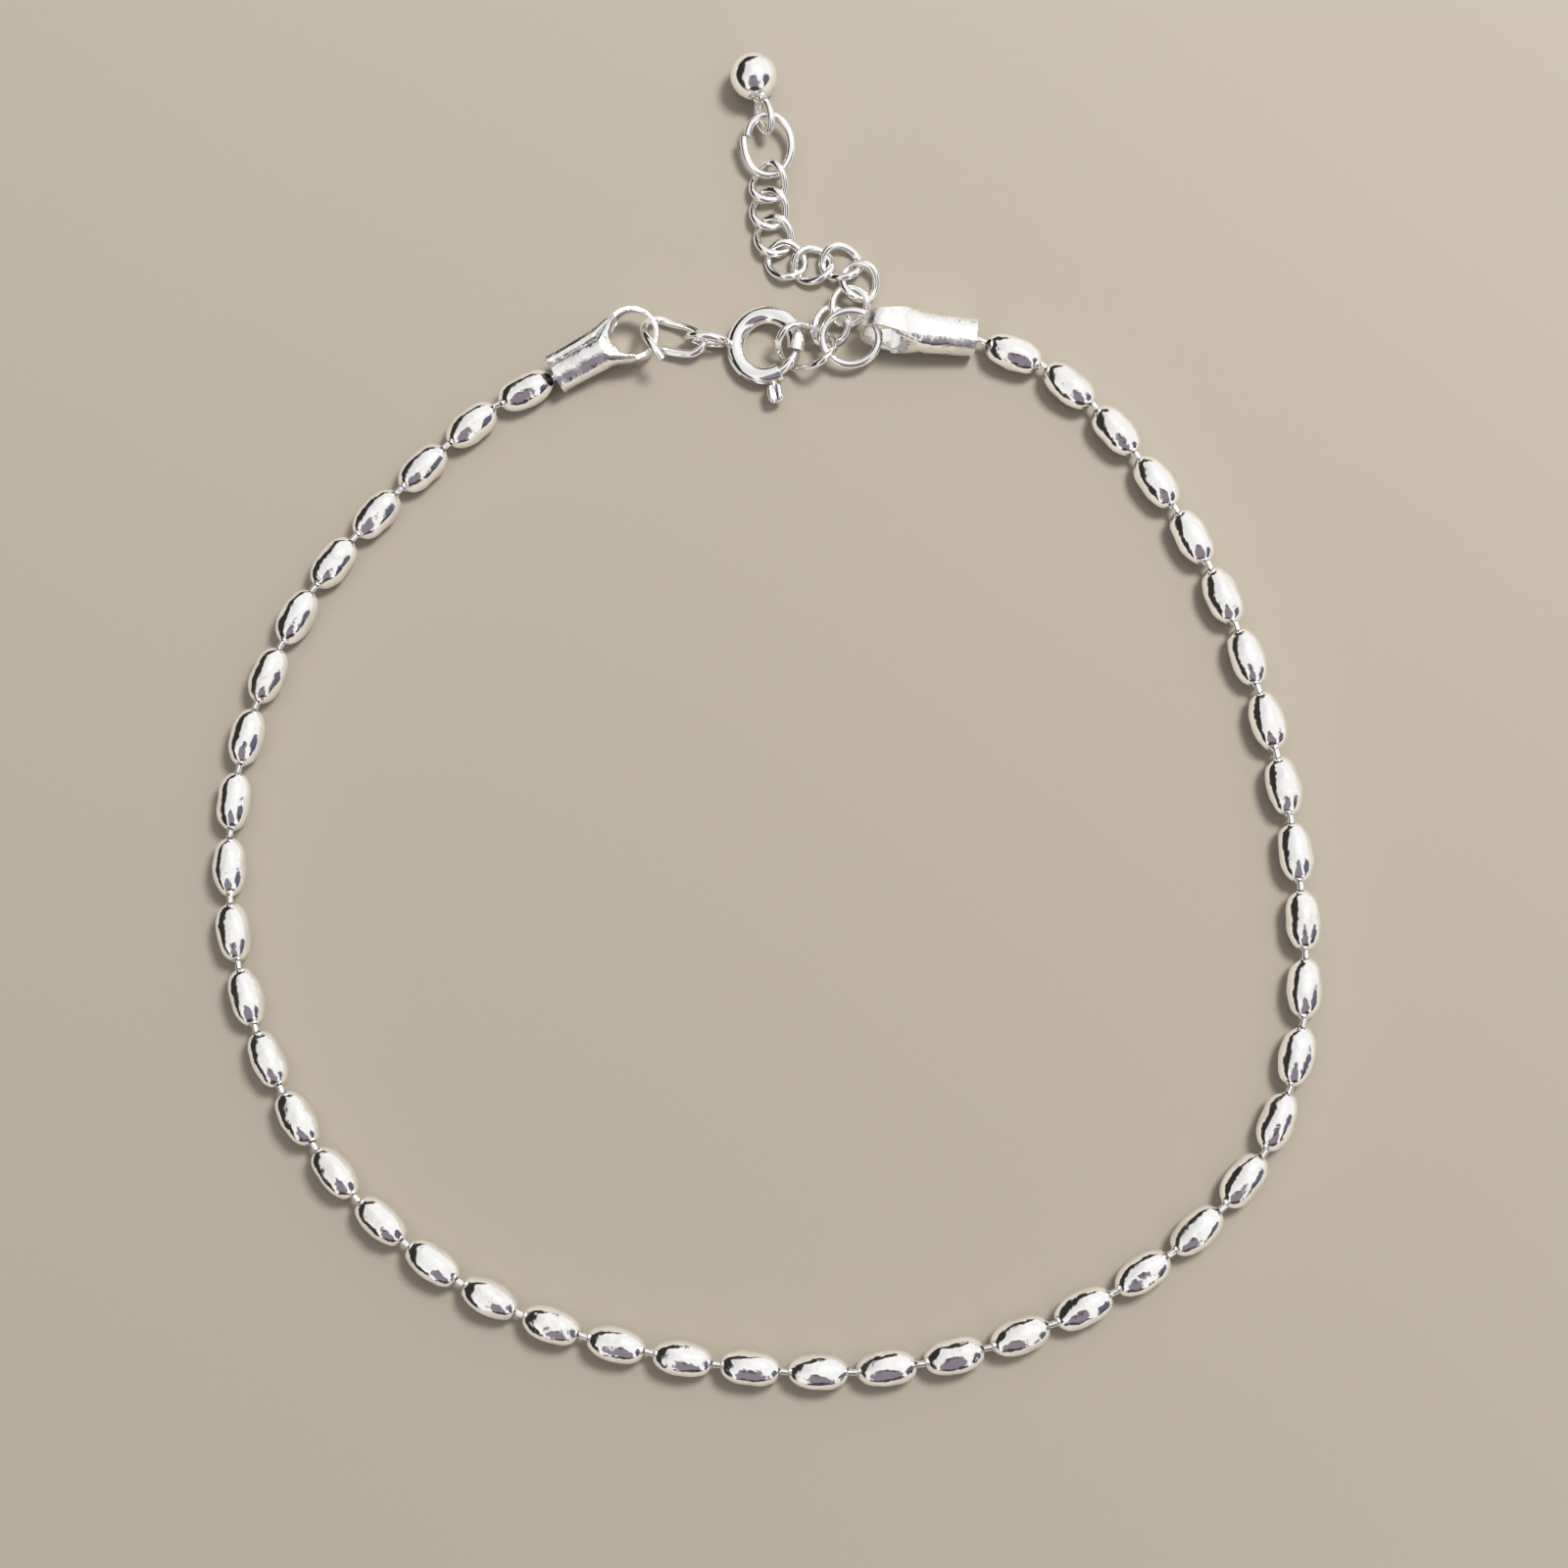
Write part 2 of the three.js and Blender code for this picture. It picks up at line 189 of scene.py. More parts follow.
# Jump rings and extender
CLASP_JUMP_ROUTE = [
    (-7.4, 25.7, 3.0), (-8.1, 26.7, 3.2), (-8.8, 27.9, 2.5), (-8.8, 29.0, 1.3), (-8.0, 29.5, 0.6),
    (-6.9, 29.2, 0.5), (-5.7, 28.8, 0.8), (-4.7, 28.1, 1.3), (-4.4, 27.3, 1.3), (-5.2, 26.7, 1.1),
    (-6.3, 26.8, 0.8), (-7.2, 27.0, 0.7), (-7.7, 27.2, 0.6),
]
CLASP_JUMP_STEPS = 6
CLASP_JUMP_WIRE_RADIUS = 0.32
EXTENDER_RING = {
    "place": (6.75, 27.45, 1.66), "heading": 0, "roll": 12, "half_length": 2.12, "half_width": 2.0,
    "steps": 56,
}
EXTENDER_RING_WIRE_RADIUS = 0.31
HOOKED_LINK = {
    "place": (3.4, 26.8, 1.76), "heading": 0, "roll": 5, "half_length": 2.1, "half_width": 1.6,
    "twist": 1.12, "steps": 56,
}
HOOKED_LINK_WIRE_RADIUS = 0.275
CURB_LINKS = [
    {"place": (5.15, 28.5, 1.12), "roll": 30},
    {"place": (6.55, 30.15, 0.97), "roll": 20},
    {"place": (7.4, 32.05, 0.86), "roll": 13},
    {"place": (6.0, 33.6, 0.78), "roll": 8},
    {"place": (3.85, 33.5, 0.7), "roll": 3},
    {"place": (1.8, 33.9, 0.66), "roll": 0},
    {"place": (0.85, 35.85, 0.72), "roll": -4},
    {"place": (0.5, 38.0, 0.8), "roll": -9},
    {"place": (0.45, 40.1, 0.94), "roll": -18},
]
CURB_SHAPE = {"half_length": 1.45, "half_width": 1.3, "twist": 0.36, "steps": 44}
CURB_WIRE_RADIUS = 0.29
DROP_RING = {
    "place": (0.45, 42.9, 1.25), "heading": 90, "pitch": 10, "roll": 4, "half_length": 2.3,
    "half_width": 1.78, "cut": 75, "steps": 72,
}
DROP_RING_WIRE_RADIUS = 0.3
# The two ends at the ring's cut stand past each other, over this many steps of the wire
CUT_SLIP = 0.13
CUT_REACH = 5

# Ball
BALL_PLACE = (-0.55, 48.15, 1.85)
BALL_RADIUS = 1.85
BALL_SIDES = 56
BALL_ROWS = 28
BALL_WOBBLE = 0.006
BALL_WOBBLE_SCALE = 0.7
BALL_EYE = {
    "place": (0.2, 45.1, 1.62), "heading": -76, "roll": 55, "half_length": 1.3, "half_width": 0.85,
    "steps": 44,
}
BALL_EYE_WIRE_RADIUS = 0.28
BALL_NECK = [
    {"reach": 1.5, "radius": 0.62},
    {"reach": 1.95, "radius": 0.496},
    {"reach": 2.15, "radius": 0.31},
]
BALL_NECK_SIDES = 20

# Silver
SILVER_BRIGHT = (0.93, 0.92, 0.9, 1.0)
SILVER_DULL = (0.8, 0.78, 0.75, 1.0)
PATCH_DETAIL = 5.0
PATCH_RAGGEDNESS = 0.6
PATCH_EDGE = 0.3
SILVER_MARKS = [
    {"mark": "Dent", "detail": 1.0, "height": 0.02},
    {"mark": "Scuff", "detail": 3.0, "height": 0.01},
]

# Camera: the photograph looks down, leaning a little from the near right
CAMERA_TARGET = (1.8, -5.9764, 0.0)
CAMERA_BACK = (0.06976, -0.13053, 0.98899)
CAMERA_DISTANCE = 200.0
CAMERA_NEAR = 5.0
CAMERA_LENS = 61.65
SENSOR_WIDTH = 36.0

# Light and floor
FLOOR_SIZE = 3000.0
FLOOR_ROUGHNESS = 0.9
FLOOR_COLOR = (0.31, 0.27, 0.215, 1.0)
# Painted sheen: the floor's base colour is painted paler where it is seen on the slant, as cloth looks,
# so its reflection in the silver is painted paler too
FLOOR_PAINTED_SHEEN_COLOR = (0.54, 0.5, 0.44, 1.0)
KEY_PLACE = (190.0, 150.0, 400.0)
KEY_SIZE = 110.0
KEY_POWER = 2.4
DOME_STRENGTH = 1.0
DOME_COLOR = (1.0, 0.995, 0.99, 1.0)
DARK_WALL = (0.035, 0.03, 0.028, 1.0)
DUSK_WALL = (0.26, 0.225, 0.27, 1.0)
# Darker parts of the room round the table: radius and soft edge in degrees
DOME_PATCHES = [
    {"toward": (-0.75, 0.3, 0.6), "radius": 10, "edge": 45, "color": (0.8, 0.8, 0.81, 1.0)},
    {"toward": (-0.9, 0.25, 0.0), "radius": 42, "edge": 7, "color": DARK_WALL},
    {"toward": (-1.0, -0.45, -0.1), "radius": 30, "edge": 7, "color": DARK_WALL},
    {"toward": (-0.35, 0.92, -0.15), "radius": 28, "edge": 9, "color": DARK_WALL},
    {"toward": (-0.02, -0.5, 0.86), "radius": 17, "edge": 4, "color": DUSK_WALL},
    {"toward": (0.0, -0.8, 0.6), "radius": 25, "edge": 4, "color": DUSK_WALL},
    {"toward": (0.05, -1.0, -0.1), "radius": 28, "edge": 2, "color": (0.06, 0.052, 0.058, 1.0)},
    {"toward": (-0.03, -0.33, 0.94), "radius": 5, "edge": 2, "color": (0.1, 0.09, 0.1, 1.0)},
    {"toward": (0.88, -0.33, 0.33), "radius": 17, "edge": 5, "color": (0.13, 0.135, 0.19, 1.0)},
    {"toward": (0.78, -0.62, 0.1), "radius": 11, "edge": 3, "color": (0.05, 0.05, 0.065, 1.0)},
]


# Places and turns


def at(place):
    return Vector(place) + LAID_SHIFT


def turn(degrees, axis):
    return Matrix.Rotation(math.radians(degrees), 4, axis)


def blend(start, end, share):
    return start + (end - start) * share


def signed_power(value, power):
    return math.copysign(abs(value) ** power, value)


# Out from the X axis, along which beads and caps are made
def outward(place):
    return Vector((0.0, place.y, place.z)).normalized()


# Turns a piece made along the X axis so that it lies along the given way
def lying_along(way):
    side = Vector((0, 0, 1)).cross(way).normalized()
    up = way.cross(side)
    return Matrix((way, side, up)).transposed().to_4x4()


# Finishing a piece


def finish_piece(bm, name, material, sharp_turn=SHARP_TURN):
    bmesh.ops.transform(bm, matrix=Matrix.Scale(MM, 4), verts=bm.verts)
    mesh = bpy.data.meshes.new(name)
    bm.to_mesh(mesh)
    bm.free()
    mesh.polygons.foreach_set("use_smooth", [True] * len(mesh.polygons))
    mesh.set_sharp_from_angle(angle=math.radians(sharp_turn))
    mesh.materials.append(material)
    piece = bpy.data.objects.new(name, mesh)
    bpy.context.scene.collection.objects.link(piece)
    return piece


def stands_for(piece, node, body):
    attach(piece, body)
    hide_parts(node)


def closed_and_outward(bm):
    bmesh.ops.remove_doubles(bm, verts=bm.verts, dist=MERGE_GAP)
    bmesh.ops.recalc_face_normals(bm, faces=bm.faces)


# Gives bare sheet its thickness, inwards, and eases its edges
def thicken_sheet(piece, thickness, edge_width, edge_segments):
    wall = piece.modifiers.new("wall", "SOLIDIFY")
    wall.thickness = thickness * MM
    wall.offset = -1.0
    edge = piece.modifiers.new("edge", "BEVEL")
    edge.width = edge_width * MM
    edge.segments = edge_segments
    edge.limit_method = "ANGLE"


# Rows of edges, grown one from the other


def rim_of(verts):
    return list(dict.fromkeys(edge for vert in verts for edge in vert.link_edges))


def grow_row(bm, edges):
    grown = bmesh.ops.extrude_edge_only(bm, edges=edges)["geom"]
    points = {item for item in grown if isinstance(item, bmesh.types.BMVert)}
    sides = [item for item in grown if isinstance(item, bmesh.types.BMEdge)]
    return points, [edge for edge in sides if points.issuperset(edge.verts)]


# Wire swept along a path


def path_frames(path, radii, closed):
    count = len(path)
    tangents = []
    for i in range(count):
        before = path[i - 1] if closed or i > 0 else path[i]
        after = path[(i + 1) % count] if closed or i < count - 1 else path[i]
        tangents.append((after - before).normalized())
    facing = Vector((0, 0, 1)).rotation_difference(tangents[0])
    frames = []
    for i, tangent in enumerate(tangents):
        if i > 0:
            facing = tangents[i - 1].rotation_difference(tangent) @ facing
        frames.append(Matrix.LocRotScale(path[i], facing, Vector((radii[i], radii[i], 1.0))))
    return frames


def sweep_wire(bm, path, radius, sides, closed):
    radii = radius if isinstance(radius, list) else [radius] * len(path)
    frames = path_frames(path, radii, closed)
    made = bmesh.ops.create_circle(bm, segments=sides, radius=1.0, matrix=frames[0], cap_ends=False)
    first = rim_of(made["verts"])
    last = first
    for before, after in zip(frames, frames[1:]):
        points, last = grow_row(bm, last)
        bmesh.ops.transform(bm, matrix=after @ before.inverted(), verts=list(points))
    if closed:
        bmesh.ops.bridge_loops(bm, edges=first + last)
        return
    for rim in (first, last):
        bmesh.ops.contextual_create(bm, geom=rim)


def link_path(link):
    spin = turn(link["heading"], "Z") @ turn(-link.get("pitch", 0), "Y") @ turn(link["roll"], "X")
    path = []
    for i in range(link["steps"]):
        angle = 2 * math.pi * i / link["steps"]
        along = link["half_length"] * math.cos(angle)
        across = link["half_width"] * math.sin(angle)
        lift = -link.get("twist", 0) * math.sin(2 * angle)
        path.append(at(link["place"]) + spin @ Vector((along, across, lift)))
    return path


def cut_ring_path(ring):
    path = link_path(ring)
    first = round(ring["steps"] * ring["cut"] / 360)
    path = path[first:] + path[:first]
    slip = (path[0] - at(ring["place"])).normalized() * CUT_SLIP
    for i in range(CUT_REACH):
        share = 1 - i / CUT_REACH
        path[i] = path[i] + slip * share
        path[-1 - i] = path[-1 - i] - slip * share
    return path


# A smooth curve through every point of the route
def smooth_route(points, steps):
    knots = [points[0]] + points + [points[-1]]
    route = []
    for i in range(1, len(knots) - 2):
        before, start, end, after = knots[i - 1:i + 3]
        for step in range(steps):
            t = step / steps
            route.append(0.5 * (
                2 * start + (end - before) * t + (2 * before - 5 * start + 4 * end - after) * t * t
                + (3 * start - before - 3 * end + after) * t * t * t
            ))
    return route + [points[-1]]


# Shared effects for the silver


def effect_group(name, values, results):
    group = bpy.data.node_groups.new(name, "ShaderNodeTree")
    for value in values:
        group.interface.new_socket(value, in_out="INPUT", socket_type="NodeSocketFloat")
    for result, kind in results.items():
        group.interface.new_socket(result, in_out="OUTPUT", socket_type=kind)
    return group, group.nodes.new("NodeGroupInput"), group.nodes.new("NodeGroupOutput")


def hand_dents_group():
    values = ["Dent Scale", "Dent Depth", "Scuff Scale", "Scuff Depth"]
    group, taken, given = effect_group("hand_dents", values, {"Normal": "NodeSocketVector"})
    join = group.links.new
    place = group.nodes.new("ShaderNodeTexCoord")
    bump = None
    for row in SILVER_MARKS:
        marks = group.nodes.new("ShaderNodeTexNoise")
        marks.inputs["Detail"].default_value = row["detail"]
        below = bump
        bump = group.nodes.new("ShaderNodeBump")
        bump.inputs["Distance"].default_value = row["height"] * MM
        join(place.outputs["Object"], marks.inputs["Vector"])
        join(taken.outputs[f"{row['mark']} Scale"], marks.inputs["Scale"])
        join(taken.outputs[f"{row['mark']} Depth"], bump.inputs["Strength"])
        join(marks.outputs["Fac"], bump.inputs["Height"])
        if below:
            join(below.outputs["Normal"], bump.inputs["Normal"])
    join(bump.outputs["Normal"], given.inputs["Normal"])
    return group


def rubbed_shine_group():
    values = ["Patch Scale", "Smoothest", "Roughest", "Rubbed Share"]
    results = {"Color": "NodeSocketColor", "Roughness": "NodeSocketFloat"}
    group, taken, given = effect_group("rubbed_shine", values, results)
    join = group.links.new
    place = group.nodes.new("ShaderNodeTexCoord")
    patches = group.nodes.new("ShaderNodeTexNoise")
    patches.inputs["Detail"].default_value = PATCH_DETAIL
    patches.inputs["Roughness"].default_value = PATCH_RAGGEDNESS
    edge = group.nodes.new("ShaderNodeMath")
    edge.operation = "ADD"
    edge.inputs[1].default_value = PATCH_EDGE
    spread = group.nodes.new("ShaderNodeMapRange")
    spread.interpolation_type = "SMOOTHSTEP"
    tint = group.nodes.new("ShaderNodeMix")
    tint.data_type = "RGBA"
    tint.inputs["A"].default_value = SILVER_BRIGHT
    tint.inputs["B"].default_value = SILVER_DULL
    gloss = group.nodes.new("ShaderNodeMix")
    join(place.outputs["Object"], patches.inputs["Vector"])
    join(taken.outputs["Patch Scale"], patches.inputs["Scale"])
    join(patches.outputs["Fac"], spread.inputs["Value"])
    join(taken.outputs["Rubbed Share"], spread.inputs["From Min"])
    join(taken.outputs["Rubbed Share"], edge.inputs[0])
    join(edge.outputs["Value"], spread.inputs["From Max"])
    join(spread.outputs["Result"], tint.inputs["Factor"])
    join(spread.outputs["Result"], gloss.inputs["Factor"])
    join(taken.outputs["Smoothest"], gloss.inputs["A"])
    join(taken.outputs["Roughest"], gloss.inputs["B"])
    join(tint.outputs["Result"], given.inputs["Color"])
    join(gloss.outputs["Result"], given.inputs["Roughness"])
    return group


HAND_DENTS = hand_dents_group()
RUBBED_SHINE = rubbed_shine_group()


def place_effect(nodes, effect, values):
    placed = nodes.new("ShaderNodeGroup")
    placed.node_tree = effect
    for socket, value in values.items():
        placed.inputs[socket].default_value = value
    return placed


def silver_material(name, shine, dents):
    material = bpy.data.materials.new(name)
    material.use_nodes = True
    nodes = material.node_tree.nodes
    join = material.node_tree.links.new
    silver = nodes["Principled BSDF"]
    silver.inputs["Metallic"].default_value = 1.0
    rubbed = place_effect(nodes, RUBBED_SHINE, shine)
    dented = place_effect(nodes, HAND_DENTS, dents)
    join(rubbed.outputs["Color"], silver.inputs["Base Color"])
    join(rubbed.outputs["Roughness"], silver.inputs["Roughness"])
    join(dented.outputs["Normal"], silver.inputs["Normal"])
    return material


bead_silver = silver_material(
    "bead_silver",
    {"Patch Scale": 380.0, "Smoothest": 0.07, "Roughest": 0.2, "Rubbed Share": 0.48},
    {"Dent Scale": 1500.0, "Dent Depth": 2.6, "Scuff Scale": 3400.0, "Scuff Depth": 1.6},
)
cap_silver = silver_material(
    "cap_silver",
    {"Patch Scale": 620.0, "Smoothest": 0.13, "Roughest": 0.42, "Rubbed Share": 0.38},
    {"Dent Scale": 1100.0, "Dent Depth": 3.0, "Scuff Scale": 3600.0, "Scuff Depth": 4.0},
)
clasp_silver = silver_material(
    "clasp_silver",
    {"Patch Scale": 500.0, "Smoothest": 0.08, "Roughest": 0.2, "Rubbed Share": 0.5},
    {"Dent Scale": 600.0, "Dent Depth": 0.5, "Scuff Scale": 4200.0, "Scuff Depth": 0.15},
)
wire_silver = silver_material(
    "wire_silver",
    {"Patch Scale": 700.0, "Smoothest": 0.08, "Roughest": 0.22, "Rubbed Share": 0.48},
    {"Dent Scale": 900.0, "Dent Depth": 0.7, "Scuff Scale": 4200.0, "Scuff Depth": 0.2},
)
ball_silver = silver_material(
    "ball_silver",
    {"Patch Scale": 520.0, "Smoothest": 0.09, "Roughest": 0.22, "Rubbed Share": 0.46},
    {"Dent Scale": 1300.0, "Dent Depth": 2.2, "Scuff Scale": 4200.0, "Scuff Depth": 0.8},
)


# Beads


# A bead's middle and the way its rod points, from its solid
def bead_line(node):
    mesh = frame["nodes"][node].data
    points = np.empty(len(mesh.vertices) * 3)
    mesh.vertices.foreach_get("co", points)
    points = points.reshape(-1, 3) / MM
    middle = points.mean(axis=0)
    spread = np.linalg.eigh(np.cov((points - middle).T))[1]
    along = Vector(spread[:, 2])
    reach = (points - middle) @ np.array(along)
    if -reach.min() > reach.max():
        along = -along
        reach = -reach
    centre = Vector(middle) + along * (float(reach.min()) + BEAD_HALF_LENGTH)
    return centre, along


def bead_outline():
    share = 1 - (BEAD_RIM_RADIUS / BEAD_RADIUS) ** BEAD_ROUNDNESS
    end = share ** (1 / BEAD_FULLNESS)
    outline = [
        (BEAD_HOLE_DEPTH - BEAD_HALF_LENGTH, 0.0),
        (BEAD_HOLE_DEPTH - BEAD_HALF_LENGTH, BEAD_HOLE_RADIUS),
        (BEAD_RIM_ROLL - BEAD_HALF_LENGTH, BEAD_HOLE_RADIUS),
    ]
    for i in range(BEAD_ROWS + 1):
        t = end * math.sin(math.pi * (i / BEAD_ROWS - 0.5))
        radius = BEAD_RADIUS * (1 - abs(t) ** BEAD_FULLNESS) ** (1 / BEAD_ROUNDNESS)
        outline.append((BEAD_HALF_LENGTH * t / end, radius))
    return outline + [
        (BEAD_HALF_LENGTH - BEAD_RIM_ROLL, BEAD_HOLE_RADIUS),
        (BEAD_HALF_LENGTH - BEAD_ROD_ROOT, BEAD_ROD_RADIUS),
        (BEAD_ROD_REACH, BEAD_ROD_RADIUS),
        (BEAD_ROD_REACH + BEAD_ROD_DOME, 0.0),
    ]


def make_bead(node, number):
    centre, along = bead_line(node)
    bm = bmesh.new()
    verts = [bm.verts.new((x, 0.0, radius)) for x, radius in bead_outline()]
    for start, end in zip(verts, verts[1:]):
        bm.edges.new((start, end))
    bmesh.ops.spin(
        bm, geom=bm.verts[:] + bm.edges[:], cent=(0, 0, 0), axis=(1, 0, 0), angle=2 * math.pi,
        steps=BEAD_SIDES, use_merge=True, use_duplicate=False,
    )
    closed_and_outward(bm)
    noise_place = Vector([step * number for step in BEAD_DENT_STEP])
    for vert in bm.verts:
        if vert.co.yz.length > BEAD_RIM_RADIUS:
            dent = noise.noise(vert.co / BEAD_DENT_SIZE + noise_place) - DENT_SINK
            vert.co += outward(vert.co) * BEAD_DENT_DEPTH * dent
    bmesh.ops.transform(bm, matrix=Matrix.Translation(centre) @ lying_along(along), verts=bm.verts)
    piece = finish_piece(bm, f"oval_{node}", bead_silver)
    stands_for(piece, node, "anklet")


for bead_number in range(1, BEAD_COUNT + 1):
    make_bead(f"bead_{bead_number:02d}", bead_number)


# End caps


# The rolled sheet's section as angles and reaches, from the lip round to the tucked end
def rolled_section(lip_turn):
    section = [Vector((point["across"], point["high"])) for point in CAP_LIP]
    for i in range(CAP_SIDES + 1):
        share = i / CAP_SIDES
        angle = math.radians(blend(CAP_ROLL_START, CAP_ROLL_END, share))
        tuck = 1 - CAP_TUCK * max(0.0, share * CAP_TUCK_PARTS - (CAP_TUCK_PARTS - 1))
        section.append(Vector((math.cos(angle), math.sin(angle))) * tuck)
    return [(math.atan2(point.y, point.x) + math.radians(lip_turn), point.length) for point in section]


def squared_circle(angle, squareness):
    power = 2 / squareness
    return signed_power(math.cos(angle), power), signed_power(math.sin(angle), power)


def cap_row(section, along, half_width, half_height, squareness=CAP_TUBE_SQUARENESS, evenness=0.0):
    row = []
    for number, (angle, reach) in enumerate(section):
        reach = blend(reach, 1, evenness)
        if number < len(CAP_LIP):
            spot = Vector((along * CAP_LIP_WANDER_ALONG, number * CAP_LIP_WANDER_ACROSS, 0.0))
            angle += CAP_LIP_WANDER * noise.noise(spot)
        across, high = squared_circle(angle, squareness)
        place = Vector((along, across * half_width * reach, high * half_height * reach))
        dent = CAP_DENT_DEPTH * noise.noise(place / CAP_DENT_SIZE)
        row.append(place - outward(place) * max(0.0, dent))
    return row


def neck_row(section, share):
    ease = share * share * (3 - 2 * share)
    last = CAP_TUBE_SECTIONS[-1]
    half_width = blend(last["half_width"], CAP_NECK_END_HALF_WIDTH, ease)
    half_height = blend(last["half_height"], CAP_NECK_END_HALF_HEIGHT, ease)
    squareness = blend(CAP_TUBE_SQUARENESS, CAP_NECK_END_SQUARENESS, ease)
    row = cap_row(section, 0.0, half_width, half_height, squareness, ease)
    for place in row:
        middle = max(0.0, 1 - (place.y / half_width) ** 2)
        ragged = CAP_HOLE_EDGE_RAGGED * middle * noise.noise(place / CAP_CRUMPLE_SIZE)
        square = (CAP_HOLE_EDGE_RADIUS + ragged) ** 2 - place.y ** 2
        hollow = math.sqrt(max(CAP_HOLE_LEAST_SQUARE, square))
        place.x = blend(CAP_NECK_START, CAP_EYE_REACH - hollow, share)
        depth = CAP_CRUMPLE_DEPTH * middle * min(1.0, CAP_CRUMPLE_GROWTH * share)
        crumple = depth * (noise.noise(place / CAP_CRUMPLE_SIZE) - CAP_CRUMPLE_CALM)
        place -= outward(place) * max(0.0, crumple)
    return row


def rolled_tube(bm, lip_turn):
    section = rolled_section(lip_turn)
    rows = [cap_row(section, **size) for size in CAP_TUBE_SECTIONS]
    for place in rows[0]:
        place.x += CAP_MOUTH_RAGGED * abs(noise.noise(place * CAP_MOUTH_RAGGED_SCALE))
    rows += [neck_row(section, i / CAP_NECK_ROWS) for i in range(CAP_NECK_ROWS + 1)]
    order = [bm.verts.new(place) for place in rows[0]]
    edges = [bm.edges.new(pair) for pair in zip(order, order[1:])]
    for row in rows[1:]:
        fresh, edges = grow_row(bm, edges)
        order = [next(e.other_vert(v) for e in v.link_edges if e.other_vert(v) in fresh) for v in order]
        for vert, place in zip(order, row):
            vert.co = place


def band_eye(bm, squareness):
    tube = set(bm.verts)
    low = bm.verts.new((CAP_EYE_RADIUS, 0.0, -1.0))
    top = bm.verts.new((CAP_EYE_RADIUS, 0.0, 1.0))
    edge = bm.edges.new((low, top))
    bmesh.ops.spin(
        bm, geom=[low, top, edge], cent=(0, 0, 0), axis=(0, 0, 1), angle=2 * math.pi,
        steps=CAP_EYE_STEPS, use_merge=True, use_duplicate=False,
    )
    for vert in bm.verts:
        if vert in tube:
            continue
        along, across = squared_circle(math.atan2(vert.co.y, vert.co.x), squareness)
        vert.co.x = CAP_EYE_REACH + along * CAP_EYE_RADIUS
        vert.co.y = across * CAP_EYE_RADIUS
        vert.co.z *= blend(CAP_EYE_HALF_WIDTH_AT_TUBE, CAP_EYE_HALF_WIDTH_AT_TIP, 0.5 + 0.5 * along)


def make_cap(node, cap):
    bm = bmesh.new()
    rolled_tube(bm, cap["lip_turn"])
    band_eye(bm, cap["eye_squareness"])
    bmesh.ops.recalc_face_normals(bm, faces=bm.faces)
    along = (Vector(cap["eye"]) - Vector(cap["mouth"])).normalized()
    stand = lying_along(along) @ turn(cap["roll"], "X")
    bmesh.ops.transform(bm, matrix=Matrix.Translation(at(cap["mouth"])) @ stand, verts=bm.verts)
    piece = finish_piece(bm, f"rolled_{node}", cap_silver, CAP_SHARP_TURN)
    thicken_sheet(piece, CAP_SHEET, CAP_EDGE_WIDTH, CAP_EDGE_SEGMENTS)
    stands_for(piece, node, "anklet")


def make_cap_rod():
    start = at(LEFT_CAP["mouth"])
    along = (at(LEFT_CAP["eye"]) - start).normalized()
    bm = bmesh.new()
    path = [start + along * reach for reach in CAP_ROD_REACHES]
    sweep_wire(bm, path, BEAD_ROD_RADIUS, WIRE_SIDES, False)
    closed_and_outward(bm)
    piece = finish_piece(bm, "left_cap_rod", cap_silver)
    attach(piece, "anklet")


make_cap("end_cap_left", LEFT_CAP)
make_cap("end_cap_right", RIGHT_CAP)
make_cap_rod()


# Spring ring

clasp_joint = next(joint for joint in frame["joints"] if joint["name"] == "trigger_pull")
CLASP_CENTRE = Vector(clasp_joint["pos_m"]) / MM
INTO_CLASP = Matrix.Translation(CLASP_CENTRE) @ turn(-CLASP_TILT, "Y")


def round_clasp(degrees, radius=CLASP_RADIUS):
    angle = math.radians(degrees)
    return INTO_CLASP @ Vector((radius * math.cos(angle), radius * math.sin(angle), 0.0))


def in_lug_slot(face):
    middle = face.calc_center_median()
    degrees = math.degrees(math.atan2(middle.y, middle.x))
    outside = middle.to_2d().length > CLASP_RADIUS + SLOT_OUTER_SHARE * CLASP_TUBE_RADIUS
    return outside and abs(middle.z) < SLOT_HALF_WIDTH and SLOT_FIRST < degrees < SLOT_LAST


def make_clasp_tube():
    bm = bmesh.new()
    stand = turn(CLASP_TUBE_START, "Z") @ Matrix.Translation((CLASP_RADIUS, 0, 0)) @ turn(90, "X")
    made = bmesh.ops.create_circle(
        bm, segments=CLASP_TUBE_SIDES, radius=CLASP_TUBE_RADIUS, matrix=stand, cap_ends=True,
    )
    bmesh.ops.spin(
        bm, geom=made["verts"] + rim_of(made["verts"]), cent=(0, 0, 0), axis=(0, 0, 1),
        angle=math.radians(CLASP_TUBE_END - CLASP_TUBE_START), steps=CLASP_TUBE_STEPS,
        use_merge=False, use_duplicate=False,
    )
    bmesh.ops.delete(bm, geom=[face for face in bm.faces if in_lug_slot(face)], context="FACES")
    bmesh.ops.recalc_face_normals(bm, faces=bm.faces)
    bmesh.ops.transform(bm, matrix=INTO_CLASP, verts=bm.verts)
    piece = finish_piece(bm, "spring_ring_tube", clasp_silver, CLASP_SHARP_TURN)
    thicken_sheet(piece, CLASP_TUBE_WALL, CLASP_EDGE_WIDTH, CLASP_EDGE_SEGMENTS)
    stands_for(piece, "clasp_ring", "anklet")


def make_clasp_tail():
    bm = bmesh.new()
    sweep_wire(bm, link_path(TAIL_LOOP), TAIL_WIRE_RADIUS, WIRE_SIDES, True)
    closed_and_outward(bm)
    piece = finish_piece(bm, "spring_ring_tail", clasp_silver)
    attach(piece, "anklet")


